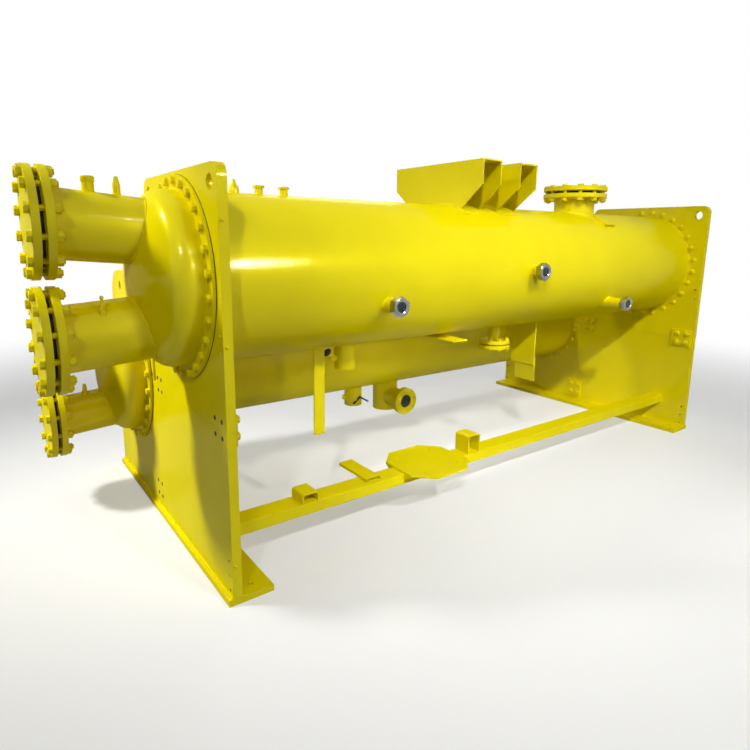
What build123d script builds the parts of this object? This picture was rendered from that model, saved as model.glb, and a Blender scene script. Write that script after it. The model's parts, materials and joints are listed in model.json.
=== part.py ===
from build123d import *
import math
import os

# Twin shell and tube heat exchanger on shared end plates, in millimetres.
# Working frame: X runs along the shells from the outer face of the left end plates, Y from the front edge
# of the end plates to the rear, Z up from the floor. Every piece is shifted at the end so that the origin
# is the bottom centre of the whole set.

# Driving dimensions of the end plates and feet
shell_length = 4280.0
plate_thickness = 45.0
seam_gap = 1.0
front_sheet_margin = 117.0
front_sheet_rise = 84.0
leg_plate_step = 54.0
rear_sheet_margin = 94.0
rear_sheet_rise = 253.0
seam_drop = 219.0
front_corner_radius = 60.0
rear_corner_radius = 190.0
lifting_hole_radius = 35.0
front_lifting_edge = 85.0
front_lifting_drop = 79.0
rear_lifting_radius = 30.0
rear_lifting_edge = 250.0
rear_lifting_drop = 98.0
foot_thickness = 33.0
foot_width = 229.0
foot_lip = 22.0
anchor_hole_radius = 14.0
anchor_from_face = 120.0
anchor_from_end = 75.0
edge_hole_radius = 9.0
edge_hole_margin = 35.0
edge_hole_pitch = 76.0
leg_edge_hole_height = 62.0
sheet_edge_hole_rise = 361.0

# Splice plates that tie the plates of one end together on the inner side
splice_thickness = 15.0
near_splice_edge = 22.0
near_splice_width = 170.0
near_splice_height = 150.0
mid_splice_front_reach = 187.0
mid_splice_rear_reach = 55.0
mid_splice_height = 135.0
low_splice_front_reach = 70.0
low_splice_rear_reach = 80.0
low_splice_height = 170.0
low_splice_level = 56.0

# Shells and heads
front_shell_radius = 426.0
front_axis_height = 1490.0
rear_shell_radius = 385.0
rear_axis_height = 822.0
shell_wall = 12.0
ring_margin = 68.0
ring_thickness = 18.0
skirt_length = 57.0
knuckle_share = 0.1
weld_gap = 0.3

# Water nozzles and their blind flanges: a pair of pipes as wide as the head and their flanges allow, which
# lean towards the axis of the head on their way from the upright flanges to the dish
front_nozzle_edge = 17.0
front_flange_clearance = 13.5
front_flange_margin = 87.5
front_face_margin = 36.0
front_nozzle_reach = 585.0
rear_nozzle_edge = 5.5
rear_flange_clearance = 10.0
rear_flange_margin = 113.5
rear_face_margin = 62.0
rear_nozzle_reach = 490.0
neck_lean = 4.5
pipe_wall = 10.0
flange_thickness = 32.0
raised_face_height = 4.0
gasket_thickness = 14.0

# Top and bottom nozzles of the front shell
top_nozzle_x = 3189.0
top_nozzle_rise = 152.0
bottom_nozzle_x = 2323.0
bottom_nozzle_drop = 134.0
small_pipe_radius = 44.5
small_pipe_wall = 6.0
small_flange_radius = 112.0
small_flange_thickness = 26.0
small_face_radius = 69.0
small_face_height = 2.0
small_gasket_thickness = 6.0

# Couplings on the water nozzles and along the top of the front shell
coupling_radius = 25.5
coupling_height = 60.0
coupling_bore_radius = 15.0
coupling_bore_depth = 40.0
coupling_inset = 208.0
plug_radius = 17.0
plug_tip_radius = 9.0
plug_height = 80.0
plug_inset = 325.0
shell_coupling_xs = (298.0, 435.0, 580.0)
shell_coupling_radius = 21.0
shell_coupling_height = 32.0

# Mitred box beams on the front shell and their saddle pads
beam_x = 1746.0
beam_spacing = 341.0
beam_width = 168.0
beam_depth = 300.0
beam_wall = 10.0
beam_front_reach = 348.0
beam_length = 839.0
beam_saddle_depth = 36.0
beam_nose = 153.0
mitre_run = 190.0
pad_thickness = 10.0
pad_margin = 10.0
pad_front_angle = 120.0
pad_rear_angle = 60.0

# Sight glasses on the front shell: place along X and height over the shell's axis
sight_places = ((996.0, -150.0), (2193.0, 5.0), (3224.0, -265.0))
sight_standoff = 97.0
sight_stub_radius = 40.0
sight_nut_flats = 100.0
sight_nut_thickness = 46.0
sight_bore_radius = 30.0
sight_glass_recess = 12.0

# Pieces under the front shell
strap_spacing = 206.0
strap_width = 70.0
strap_thickness = 10.0
strap_drop = 525.0
strap_offset = 43.0
drain_x = 975.0
drain_radius = 63.0
drain_wall = 8.0
drain_drop = 151.0
shelf_x = 1595.0
shelf_length = 125.0
shelf_width = 320.0
shelf_front_reach = 303.0
shelf_thickness = 10.0
hanger_spacing = 327.0
hanger_front_reach = 119.0
hanger_width = 276.0
hanger_foot_width = 219.0
hanger_thickness = 12.0
hanger_drop = 324.0
hanger_tab_width = 187.0
hanger_tab_drop = 128.0
hanger_tab_lap = 60.0

# Pots under the rear shell
pot_spacing = 350.0
pot_radius = 75.0
pot_wall = 8.0
pot_drop = 158.0
sump_x = 2120.0
sump_radius = 109.5
sump_wall = 8.0
sump_drop = 244.0
branch_drop = 122.0
branch_radius = 84.0
branch_reach = 298.0
branch_flange_margin = 32.0
branch_flange_thickness = 40.0
branch_groove = 5.0
branch_glass_radius = 57.0
branch_glass_recess = 8.0
branch_glass_thickness = 12.0

# Cross channel between the legs and the pieces on it
channel_front = 224.0
channel_width = 125.0
channel_depth = 65.0
channel_wall = 8.0
channel_top = 275.0
pedestal_x = 1447.0
pedestal_size = 480.0
pedestal_chamfer = 112.0
pedestal_thickness = 12.0
pedestal_hole_pitch = 276.0
pedestal_hole_radius = 9.0
gusset_thickness = 8.0
gusset_reach = 64.0
gusset_drop = 45.0
tall_stub_clearance = 73.0
tall_stub_width = 108.0
tall_stub_height = 127.0
short_stub_x = 495.0
short_stub_width = 104.0
short_stub_height = 55.0
stub_wall = 8.0
flat_tube_clearance = 164.0
flat_tube_width = 100.0
flat_tube_height = 22.0
flat_tube_length = 306.0
flat_tube_setback = 28.0
flat_tube_wall = 3.0

# V-shaped clip beside the top nozzle
clip_thickness = 8.0
clip_height = 25.0
clip_corner_angle = 133.0
clip_long_angle = 113.0
clip_offset = -11.0
clip_short_length = 128.0

# Places that follow from the driving dimensions
front_crown = front_axis_height + front_shell_radius
front_bottom = front_axis_height - front_shell_radius
rear_crown = rear_axis_height + rear_shell_radius
rear_bottom = rear_axis_height - rear_shell_radius
front_sheet_width = 2 * (front_shell_radius + front_sheet_margin)
rear_sheet_width = 2 * (rear_shell_radius + rear_sheet_margin)
front_leg_width = front_sheet_width + leg_plate_step
plate_depth = front_leg_width + rear_sheet_width
right_face = shell_length + 2 * plate_thickness
front_axis_y = front_sheet_width / 2
rear_axis_y = front_leg_width + rear_sheet_width / 2
front_sheet_top = front_crown + front_sheet_rise
rear_sheet_top = rear_crown + rear_sheet_rise
seam_height = front_bottom - seam_drop
joint_gap = 2 * raised_face_height + gasket_thickness
small_joint_gap = 2 * small_face_height + small_gasket_thickness

front_nozzle_room = front_shell_radius - front_nozzle_edge - front_flange_clearance
front_pipe_radius = (front_nozzle_room - front_flange_margin) / 2
front_flange_radius = front_pipe_radius + front_flange_margin
front_face_radius = front_pipe_radius + front_face_margin
front_nozzle_offset = front_flange_radius + front_flange_clearance
rear_nozzle_room = rear_shell_radius - rear_nozzle_edge - rear_flange_clearance
rear_pipe_radius = (rear_nozzle_room - rear_flange_margin) / 2
rear_flange_radius = rear_pipe_radius + rear_flange_margin
rear_face_radius = rear_pipe_radius + rear_face_margin
rear_nozzle_offset = rear_flange_radius + rear_flange_clearance
top_nozzle_height = front_crown + top_nozzle_rise
bottom_nozzle_height = front_bottom - bottom_nozzle_drop

beam_xs = (beam_x, beam_x + beam_spacing)
beam_front = front_axis_y - beam_front_reach
beam_top = front_crown - beam_saddle_depth + beam_depth
sight_face = front_axis_y - front_shell_radius - sight_standoff
strap_x = drain_x - strap_spacing
hanger_x = bottom_nozzle_x + hanger_spacing
hanger_bottom = front_bottom - hanger_drop
pot_x = sump_x - pot_spacing
sump_bottom = rear_bottom - sump_drop
branch_height = rear_bottom - branch_drop
tall_stub_x = pedestal_x + pedestal_size / 2 + tall_stub_clearance
flat_tube_x = pedestal_x - pedestal_size / 2 - flat_tube_clearance - flat_tube_width


def dish_depth(radius):
    """Distance from the plate to the crown of a head: ring, skirt and a dish whose crown radius is the
    diameter of the shell and whose knuckle is a fixed share of it."""
    crown = 2 * radius
    knuckle = knuckle_share * crown
    lift = math.sqrt((crown - knuckle) ** 2 - (radius - knuckle) ** 2)
    return ring_thickness + skirt_length + crown - lift


nozzle_end = front_nozzle_reach + joint_gap / 2 + flange_thickness
length_overall = nozzle_end + right_face + dish_depth(front_shell_radius)
to_origin = Pos(nozzle_end - length_overall / 2, -plate_depth / 2, 0)


def block(low, high):
    """Box between two corners."""
    size = [b - a for a, b in zip(low, high)]
    centre = [(a + b) / 2 for a, b in zip(low, high)]
    return Pos(*centre) * Box(*size)


def rod(start, direction, radius, length):
    """Cylinder from a start point along an axis direction."""
    plane = Plane(origin=start, z_dir=direction)
    return extrude(plane * Circle(radius), amount=length)


def tube(start, direction, radius, wall, length):
    """Hollow cylinder from a start point along an axis direction."""
    plane = Plane(origin=start, z_dir=direction)
    return extrude(plane * (Circle(radius) - Circle(radius - wall)), amount=length)


def front_shell_body(radius):
    """Solid cylinder on the front shell's axis, for saddle cuts."""
    return rod((plate_thickness, front_axis_y, front_axis_height), (1, 0, 0), radius, shell_length)


def rear_shell_body(radius):
    """Solid cylinder on the rear shell's axis, for saddle cuts."""
    return rod((plate_thickness, rear_axis_y, rear_axis_height), (1, 0, 0), radius, shell_length)


def both_ends(piece):
    """The left piece and its mirror image at the right end."""
    middle = Plane.YZ.offset(right_face / 2)
    return {"left": piece, "right": mirror(piece, about=middle)}


def end_plate(outline):
    """Left end plate from its outline, drawn with Y across and Z up."""
    return extrude(Plane.YZ * outline, amount=plate_thickness)


def panel(y_low, y_high, z_low, z_high):
    """Rectangle drawn with Y across and Z up."""
    centre = Pos((y_low + y_high) / 2, (z_low + z_high) / 2)
    return centre * Rectangle(y_high - y_low, z_high - z_low)


def edge_holes(y, lowest, count):
    """Vertical row of small holes near a plate's edge."""
    places = [Pos(y, lowest + i * edge_hole_pitch) for i in range(count)]
    return Sketch() + [place * Circle(edge_hole_radius) for place in places]


def make_end_plates():
    """Tube sheets and leg plate of the left end."""
    sheet = panel(0, front_sheet_width, seam_height + seam_gap / 2, front_sheet_top)
    sheet = fillet(sheet.vertices().group_by(Axis.Y)[-1], front_corner_radius)
    lift_z = front_sheet_top - front_lifting_drop
    for y in (front_lifting_edge, front_sheet_width - front_lifting_edge):
        sheet -= Pos(y, lift_z) * Circle(lifting_hole_radius)
    sheet -= edge_holes(edge_hole_margin, seam_height + sheet_edge_hole_rise, 2)

    leg = panel(0, front_leg_width - seam_gap / 2, foot_thickness, seam_height - seam_gap / 2)
    leg -= edge_holes(edge_hole_margin, leg_edge_hole_height, 3)

    rear = panel(front_leg_width + seam_gap / 2, plate_depth, foot_thickness, rear_sheet_top)
    far_top = rear.vertices().group_by(Axis.Y)[-1].sort_by(Axis.X)[-1]
    rear = fillet(far_top, rear_corner_radius)
    rear_eye = Pos(plate_depth - rear_lifting_edge, rear_sheet_top - rear_lifting_drop)
    rear -= rear_eye * Circle(rear_lifting_radius)
    rear -= edge_holes(plate_depth - edge_hole_margin, leg_edge_hole_height, 3)
    return {
        "front_tube_sheet": end_plate(sheet),
        "front_leg_plate": end_plate(leg),
        "rear_tube_sheet": end_plate(rear),
    }


def make_foot():
    """Floor bar of the left end with an anchor hole near each end."""
    foot = block((-foot_lip, 0, 0), (foot_width - foot_lip, plate_depth, foot_thickness))
    for y in (anchor_from_end, plate_depth - anchor_from_end):
        foot -= rod((anchor_from_face, y, 0), (0, 0, 1), anchor_hole_radius, foot_thickness)
    return foot


def make_splices():
    """Near, middle and low splice plate on the inner face of the left end."""
    inner = plate_thickness
    outer = plate_thickness + splice_thickness
    near = block(
        (inner, near_splice_edge, seam_height - near_splice_height / 2),
        (outer, near_splice_edge + near_splice_width, seam_height + near_splice_height / 2),
    )
    mid = block(
        (inner, front_leg_width - mid_splice_front_reach, seam_height - mid_splice_height / 2),
        (outer, front_leg_width + mid_splice_rear_reach, seam_height + mid_splice_height / 2),
    )
    low = block(
        (inner, front_leg_width - low_splice_front_reach, low_splice_level),
        (outer, front_leg_width + low_splice_rear_reach, low_splice_level + low_splice_height),
    )
    return near, mid, low


def make_front_shell():
    """Front shell: rolled cylinder with openings under its top and bottom nozzles."""
    shell = front_shell_body(front_shell_radius) - front_shell_body(front_shell_radius - shell_wall)
    axis = (front_axis_y, front_axis_height)
    through = 2 * front_shell_radius
    shell -= rod((top_nozzle_x, *axis), (0, 0, 1), front_pipe_radius - pipe_wall, through)
    shell -= rod((bottom_nozzle_x, *axis), (0, 0, -1), small_pipe_radius - small_pipe_wall, through)
    return shell


def make_rear_shell():
    """Rear shell: rolled cylinder with openings over its two pots."""
    shell = rear_shell_body(rear_shell_radius) - rear_shell_body(rear_shell_radius - shell_wall)
    for x, bore in ((pot_x, pot_radius - pot_wall), (sump_x, sump_radius - sump_wall)):
        shell -= rod((x, rear_axis_y, rear_axis_height), (0, 0, -1), bore, 2 * rear_shell_radius)
    return shell


def on_arc(centre, radius, angle):
    """Point on an arc in the X-Y plane, with the angle in degrees from +X."""
    turn = math.radians(angle)
    return (centre[0] + radius * math.cos(turn), centre[1] + radius * math.sin(turn))


def dish_edges(radius, wall):
    """Crown and knuckle arcs of a dish from its axis to its skirt, set in by a wall."""
    crown = 2 * radius
    knuckle = knuckle_share * crown
    spring = ring_thickness + skirt_length
    knuckle_centre = (spring, radius - knuckle)
    crown_centre = (dish_depth(radius) - crown, 0)
    blend = math.degrees(math.atan2(radius - knuckle, spring - crown_centre[0]))
    crown_arc = ThreePointArc(
        on_arc(crown_centre, crown - wall, 0),
        on_arc(crown_centre, crown - wall, blend / 2),
        on_arc(crown_centre, crown - wall, blend),
    )
    knuckle_arc = ThreePointArc(
        on_arc(knuckle_centre, knuckle - wall, blend),
        on_arc(knuckle_centre, knuckle - wall, (blend + 90) / 2),
        on_arc(knuckle_centre, knuckle - wall, 90),
    )
    return crown_arc, knuckle_arc


def make_head(radius):
    """Head with its bolted ring at X = 0, bulging along +X: a revolved ring, skirt and torispherical dish."""
    outer_crown, outer_knuckle = dish_edges(radius, 0)
    inner_crown, inner_knuckle = dish_edges(radius, shell_wall)
    ring_radius = radius + ring_margin
    ring = Polyline(
        outer_knuckle @ 1,
        (ring_thickness, radius),
        (ring_thickness, ring_radius),
        (0, ring_radius),
        (0, radius - shell_wall),
        inner_knuckle @ 1,
    )
    axis = Line(inner_crown @ 0, outer_crown @ 0)
    profile = make_face(Curve() + [outer_crown, outer_knuckle, ring, inner_knuckle, inner_crown, axis])
    return revolve(profile, Axis.X, 360)


def head_envelope(radius):
    """Solid that fills a head, grown by the weld gap, for cutting the nozzles that sit on it."""
    crown_arc, knuckle_arc = dish_edges(radius, -weld_gap)
    base = Polyline(knuckle_arc @ 1, (0, radius + weld_gap), (0, 0), crown_arc @ 0)
    return revolve(make_face(Curve() + [crown_arc, knuckle_arc, base]), Axis.X, 360)


def left_head_place(axis_y, axis_height):
    """Turns a head or nozzle from +X to the left side of the left end plates."""
    return Pos(0, axis_y, axis_height) * Rot(0, 0, 180)


def right_head_place(axis_y, axis_height):
    """Sets a head on the right side of the right end plates."""
    return Pos(right_face, axis_y, axis_height)


def neck_drop(reach, x):
    """How far the leaning axis of a water nozzle has dropped towards the head's axis at a place along +X."""
    back = reach - joint_gap / 2 - flange_thickness
    return (back - x) * math.tan(math.radians(neck_lean))


def neck_rod(reach, radius, past):
    """Cylinder on a water nozzle's leaning axis, along +X from inside the head to past the flange's back."""
    lean = math.radians(neck_lean)
    start = (skirt_length, 0, -neck_drop(reach, skirt_length))
    run = reach - joint_gap / 2 - flange_thickness + past - skirt_length
    return rod(start, (math.cos(lean), 0, math.sin(lean)), radius, run / math.cos(lean))


def make_water_box(radius, offset, reach, pipe_radius):
    """Left head with the two openings of its water nozzles."""
    opening = Pos(0, 0, offset) * neck_rod(reach, pipe_radius - pipe_wall, 0)
    return make_head(radius) - opening - Rot(180, 0, 0) * opening


def flanged_neck(reach, radius, wall, rim, thickness, face_radius, face_height, gap):
    """Pipe along +X from X = 0 to the middle of its flange joint, with a raised-face flange."""
    face = reach - gap / 2
    disc = rod((face - thickness, 0, 0), (1, 0, 0), rim, thickness)
    raised = rod((face, 0, 0), (1, 0, 0), face_radius, face_height)
    neck = rod((0, 0, 0), (1, 0, 0), radius, face)
    return neck + disc + raised - rod((0, 0, 0), (1, 0, 0), radius - wall, reach)


def blind_flange(reach, rim, thickness, face_radius, face_height, gap):
    """Blind flange along +X beyond the middle of a flange joint."""
    face = reach + gap / 2
    disc = rod((face, 0, 0), (1, 0, 0), rim, thickness)
    return disc + rod((face - face_height, 0, 0), (1, 0, 0), face_radius, face_height)


def joint_gasket(reach, radius, face_radius, thickness):
    """Ring gasket along +X, centred on the middle of a flange joint."""
    return tube((reach - thickness / 2, 0, 0), (1, 0, 0), face_radius, face_radius - radius, thickness)


def large_joint(reach, pipe_radius, rim, face_radius):
    """Blind flange and gasket of a large flanged pipe along +X."""
    blind = blind_flange(reach, rim, flange_thickness, face_radius, raised_face_height, joint_gap)
    return blind, joint_gasket(reach, pipe_radius, face_radius, gasket_thickness)


def leaning_neck(reach, pipe_radius, rim, face_radius):
    """Water nozzle along +X: a leaning pipe that ends in an upright raised-face flange."""
    face = reach - joint_gap / 2
    disc = rod((face - flange_thickness, 0, 0), (1, 0, 0), rim, flange_thickness)
    raised = rod((face, 0, 0), (1, 0, 0), face_radius, raised_face_height)
    pipe = neck_rod(reach, pipe_radius, flange_thickness / 2)
    return pipe + disc + raised - neck_rod(reach, pipe_radius - pipe_wall, 2 * flange_thickness)


def make_water_nozzles(side, radius, offset, reach, pipe_radius, rim, face_radius, place):
    """Upper and lower nozzle of one water box, their pair of blind flanges, and the two gaskets."""
    neck = leaning_neck(reach, pipe_radius, rim, face_radius)
    blind, gasket = large_joint(reach, pipe_radius, rim, face_radius)
    envelope = head_envelope(radius)
    upper = place * Pos(0, 0, offset)
    lower = place * Rot(180, 0, 0) * Pos(0, 0, offset)
    nozzles = {
        f"{side}_upper_nozzle": upper * neck - place * envelope,
        f"{side}_lower_nozzle": lower * neck - place * envelope,
        f"{side}_blind_flanges": Compound(children=[upper * blind, lower * blind]),
    }
    return nozzles, [upper * gasket, lower * gasket]


def make_top_nozzle():
    """Top nozzle of the front shell with its blind flange and gasket."""
    reach = top_nozzle_height - front_axis_height
    place = Pos(top_nozzle_x, front_axis_y, front_axis_height) * Rot(0, -90, 0)
    neck = flanged_neck(
        reach, front_pipe_radius, pipe_wall, front_flange_radius, flange_thickness, front_face_radius,
        raised_face_height, joint_gap,
    )
    blind, gasket = large_joint(reach, front_pipe_radius, front_flange_radius, front_face_radius)
    return place * neck - front_shell_body(front_shell_radius + weld_gap), place * blind, place * gasket


def make_bottom_nozzle():
    """Small bottom nozzle of the front shell with its blind flange and gasket."""
    reach = front_axis_height - bottom_nozzle_height
    place = Pos(bottom_nozzle_x, front_axis_y, front_axis_height) * Rot(0, 90, 0)
    neck = flanged_neck(
        reach, small_pipe_radius, small_pipe_wall, small_flange_radius, small_flange_thickness,
        small_face_radius, small_face_height, small_joint_gap,
    )
    neck = place * neck - front_shell_body(front_shell_radius + weld_gap)
    blind = blind_flange(
        reach, small_flange_radius, small_flange_thickness, small_face_radius, small_face_height,
        small_joint_gap,
    )
    gasket = joint_gasket(reach, small_pipe_radius, small_face_radius, small_gasket_thickness)
    return neck, place * blind, place * gasket


def make_nozzle_fittings():
    """Threaded coupling and tapered plug on top of the front upper nozzle."""
    place = left_head_place(front_axis_y, front_axis_height) * Pos(0, 0, front_nozzle_offset)
    seat = place * neck_rod(front_nozzle_reach, front_pipe_radius + weld_gap, 0)
    flange_axis = front_axis_height + front_nozzle_offset
    coupling_x = front_nozzle_reach - coupling_inset
    middle = flange_axis - neck_drop(front_nozzle_reach, coupling_x)
    mouth = middle + front_pipe_radius + coupling_height
    coupling = rod((-coupling_x, front_axis_y, middle), (0, 0, 1), coupling_radius, mouth - middle)
    coupling -= rod((-coupling_x, front_axis_y, mouth), (0, 0, -1), coupling_bore_radius, coupling_bore_depth)
    plug_x = front_nozzle_reach - plug_inset
    middle = flange_axis - neck_drop(front_nozzle_reach, plug_x)
    root = (-plug_x, front_axis_y, middle)
    shank = rod(root, (0, 0, 1), plug_radius, front_pipe_radius + plug_height / 2)
    tip = Pos(-plug_x, front_axis_y, middle + front_pipe_radius + 3 * plug_height / 4)
    plug = shank + tip * Cone(plug_radius, plug_tip_radius, plug_height / 2)
    return [coupling - seat, plug - seat]


def make_shell_couplings():
    """Row of short threaded couplings along the top of the front shell."""
    seat = front_shell_body(front_shell_radius + weld_gap)
    mouth = front_crown + shell_coupling_height
    length = mouth - front_axis_height
    couplings = []
    for x in shell_coupling_xs:
        body = rod((x, front_axis_y, front_axis_height), (0, 0, 1), shell_coupling_radius, length)
        bore = rod((x, front_axis_y, mouth), (0, 0, -1), coupling_bore_radius, shell_coupling_height / 2)
        couplings.append(body - bore - seat)
    return couplings


def make_beam(x):
    """Box beam across the front shell: open mitred ends, underside cut to the saddle pad."""
    high = (x + beam_width, beam_front + beam_length, beam_top)
    beam = block((x, beam_front, beam_top - beam_depth), high)
    beam -= block(
        (x + beam_wall, beam_front, beam_top - beam_depth + beam_wall),
        (high[0] - beam_wall, high[1], beam_top - beam_wall),
    )
    middle = Plane.XZ.offset(-(beam_front + beam_length / 2))
    mitre = Polyline(
        (beam_front, beam_top - beam_nose),
        (beam_front + mitre_run, beam_top - beam_depth),
        (beam_front, beam_top - beam_depth),
        close=True,
    )
    wedge = extrude(Plane.YZ.offset(x) * make_face(mitre), amount=beam_width)
    beam = beam - wedge - mirror(wedge, about=middle)
    return beam - front_shell_body(front_shell_radius + pad_thickness + 2 * weld_gap)


def make_beam_pads():
    """Curved saddle pads between the front shell and the box beams."""
    inner = front_shell_radius + weld_gap
    outer = inner + pad_thickness
    centre = (front_axis_y, front_axis_height)
    profile = make_face(
        Curve()
        + [
            CenterArc(centre, inner, pad_rear_angle, pad_front_angle - pad_rear_angle),
            Line(on_arc(centre, inner, pad_front_angle), on_arc(centre, outer, pad_front_angle)),
            CenterArc(centre, outer, pad_rear_angle, pad_front_angle - pad_rear_angle),
            Line(on_arc(centre, outer, pad_rear_angle), on_arc(centre, inner, pad_rear_angle)),
        ]
    )
    length = beam_width + 2 * pad_margin
    starts = [Plane.YZ.offset(x - pad_margin) for x in beam_xs]
    return Compound(children=[extrude(start * profile, amount=length) for start in starts])


def make_clip():
    """Bent flat strip on edge beside the top nozzle, following the shell."""
    inner = front_shell_radius + weld_gap
    long_x = top_nozzle_x + clip_offset
    centre = (front_axis_y, front_axis_height)
    outer = inner + clip_height
    leg = make_face(
        Curve()
        + [
            CenterArc(centre, inner, clip_long_angle, clip_corner_angle - clip_long_angle),
            Line(on_arc(centre, inner, clip_corner_angle), on_arc(centre, outer, clip_corner_angle)),
            CenterArc(centre, outer, clip_long_angle, clip_corner_angle - clip_long_angle),
            Line(on_arc(centre, outer, clip_long_angle), on_arc(centre, inner, clip_long_angle)),
        ]
    )
    long_leg = extrude(Plane.YZ.offset(long_x) * leg, amount=clip_thickness)
    foot_y, foot_z = on_arc(centre, inner, clip_corner_angle)
    outward = (0, *on_arc((0, 0), 1, clip_corner_angle))
    tilt = Plane(origin=(long_x, foot_y, foot_z), x_dir=(1, 0, 0), z_dir=outward)
    short_leg = tilt * Pos(clip_short_length / 2, clip_thickness / 2, clip_height / 2)
    short_leg = short_leg * Box(clip_short_length, clip_thickness, clip_height)
    return long_leg + short_leg - front_shell_body(inner)


def make_sight_glasses():
    """Weld-in stubs, hexagon nuts and glasses of the three sight glasses, looking along -Y."""
    stubs = []
    nuts = []
    lenses = []
    seat = front_shell_body(front_shell_radius + weld_gap)
    nut_back = sight_face + sight_nut_thickness
    glass_front = sight_face + sight_glass_recess
    for x, rise in sight_places:
        z = front_axis_height + rise
        stub = rod((x, nut_back, z), (0, 1, 0), sight_stub_radius, front_axis_y - nut_back)
        stubs.append(stub - seat)
        face = Plane(origin=(x, sight_face, z), x_dir=(0, 0, 1), z_dir=(0, 1, 0))
        hexagon = RegularPolygon(sight_nut_flats / 2, 6, major_radius=False)
        nut = extrude(face * hexagon, amount=sight_nut_thickness)
        nuts.append(nut - rod((x, sight_face, z), (0, 1, 0), sight_bore_radius, sight_nut_thickness))
        lens = rod((x, glass_front, z), (0, 1, 0), sight_bore_radius - weld_gap, nut_back - glass_front)
        lenses.append(lens)
    return Compound(children=stubs), Compound(children=nuts), lenses


def make_strap():
    """Flat bar that hangs from the front shell's underside."""
    y = front_axis_y - strap_offset
    low = (strap_x - strap_width / 2, y, front_bottom - strap_drop)
    bar = block(low, (strap_x + strap_width / 2, y + strap_thickness, front_axis_height))
    return bar - front_shell_body(front_shell_radius + weld_gap)


def capped_pipe(x, y, bottom, top, radius, wall):
    """Vertical pipe with a closed lower end."""
    body = rod((x, y, bottom), (0, 0, 1), radius, top - bottom)
    return body - rod((x, y, bottom + wall), (0, 0, 1), radius - wall, top - bottom)


def make_drain():
    """Capped pipe under the front shell."""
    bottom = front_bottom - drain_drop
    pipe = capped_pipe(drain_x, front_axis_y, bottom, front_axis_height, drain_radius, drain_wall)
    return pipe - front_shell_body(front_shell_radius + weld_gap)


def make_shelf():
    """Flat plate under the lowest line of the front shell."""
    top = front_bottom - weld_gap
    front = front_axis_y - shelf_front_reach
    high = (shelf_x + shelf_length, front + shelf_width, top)
    return block((shelf_x, front, top - shelf_thickness), high)


def make_hanger():
    """Plate bracket under the front shell, narrower at its foot, with a lapped lower tab."""
    front = front_axis_y - hanger_front_reach
    outline = Polyline(
        (front, hanger_bottom),
        (front + hanger_foot_width, hanger_bottom),
        (front + hanger_width, front_bottom),
        (front + hanger_width, front_axis_height),
        (front, front_axis_height),
        close=True,
    )
    web = extrude(Plane.YZ.offset(hanger_x) * make_face(outline), amount=hanger_thickness)
    tab = block(
        (hanger_x + hanger_thickness, front, hanger_bottom - hanger_tab_drop),
        (hanger_x + 2 * hanger_thickness, front + hanger_tab_width, hanger_bottom + hanger_tab_lap),
    )
    return web + tab - front_shell_body(front_shell_radius + weld_gap)


def make_pot():
    """Capped drain pot under the rear shell."""
    pipe = capped_pipe(pot_x, rear_axis_y, rear_bottom - pot_drop, rear_axis_height, pot_radius, pot_wall)
    return pipe - rear_shell_body(rear_shell_radius + weld_gap)


def make_sump():
    """Sump under the rear shell with a horizontal branch towards the front, and the branch's glass."""
    end = rear_axis_y - branch_reach
    pot = rod((sump_x, rear_axis_y, sump_bottom), (0, 0, 1), sump_radius, rear_axis_height - sump_bottom)
    branch = rod((sump_x, end, branch_height), (0, 1, 0), branch_radius, branch_reach)
    rim = branch_radius + branch_flange_margin
    flange = rod((sump_x, end, branch_height), (0, 1, 0), rim, branch_flange_thickness)
    split = end + (branch_flange_thickness - branch_groove) / 2
    flange -= tube((sump_x, split, branch_height), (0, 1, 0), rim, branch_groove, branch_groove)
    hollow = rod(
        (sump_x, rear_axis_y, sump_bottom + sump_wall), (0, 0, 1), sump_radius - sump_wall, rear_axis_height,
    )
    bore = rod(
        (sump_x, end + branch_flange_thickness, branch_height), (0, 1, 0), branch_radius - sump_wall,
        branch_reach - branch_flange_thickness,
    )
    window = rod((sump_x, end, branch_height), (0, 1, 0), branch_glass_radius, branch_flange_thickness)
    sump = pot + branch + flange - hollow - bore - window
    glass = rod(
        (sump_x, end + branch_glass_recess, branch_height), (0, 1, 0), branch_glass_radius - weld_gap,
        branch_glass_thickness,
    )
    return sump - rear_shell_body(rear_shell_radius + weld_gap), glass


def make_channel():
    """Cross channel between the front legs, web up."""
    low = (plate_thickness, channel_front, channel_top - channel_depth)
    high = (plate_thickness + shell_length, channel_front + channel_width, channel_top)
    hollow_low = (low[0], low[1] + channel_wall, low[2])
    hollow_high = (high[0], high[1] - channel_wall, high[2] - channel_wall)
    return block(low, high) - block(hollow_low, hollow_high)


def across_channel(x, width, y, length, height):
    """Plane across the channel for the profile of a piece that stands on it and runs towards the front."""
    centre = (x + width / 2, y + length, channel_top + height / 2)
    return Plane(origin=centre, x_dir=(1, 0, 0), z_dir=(0, -1, 0))


def bent_stub(x, width, height):
    """Plate bent to an upturned U that stands across the channel."""
    outer = fillet(Rectangle(width, height).vertices().group_by(Axis.Y)[-1], 2 * stub_wall)
    inner = Rectangle(width - 2 * stub_wall, height - stub_wall)
    inner = fillet(inner.vertices().group_by(Axis.Y)[-1], stub_wall)
    profile = outer - Pos(0, -stub_wall / 2) * inner
    plane = across_channel(x, width, channel_front, channel_width, height)
    return extrude(plane * profile, amount=channel_width)


def make_flat_tube():
    """Flat tube with rounded corners that lies across the channel and reaches past its rear side."""
    outer = RectangleRounded(flat_tube_width, flat_tube_height, 2 * flat_tube_wall)
    hollow = RectangleRounded(
        flat_tube_width - 2 * flat_tube_wall, flat_tube_height - 2 * flat_tube_wall, flat_tube_wall,
    )
    plane = across_channel(
        flat_tube_x, flat_tube_width, channel_front + flat_tube_setback, flat_tube_length, flat_tube_height,
    )
    return extrude(plane * (outer - hollow), amount=flat_tube_length)


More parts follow.
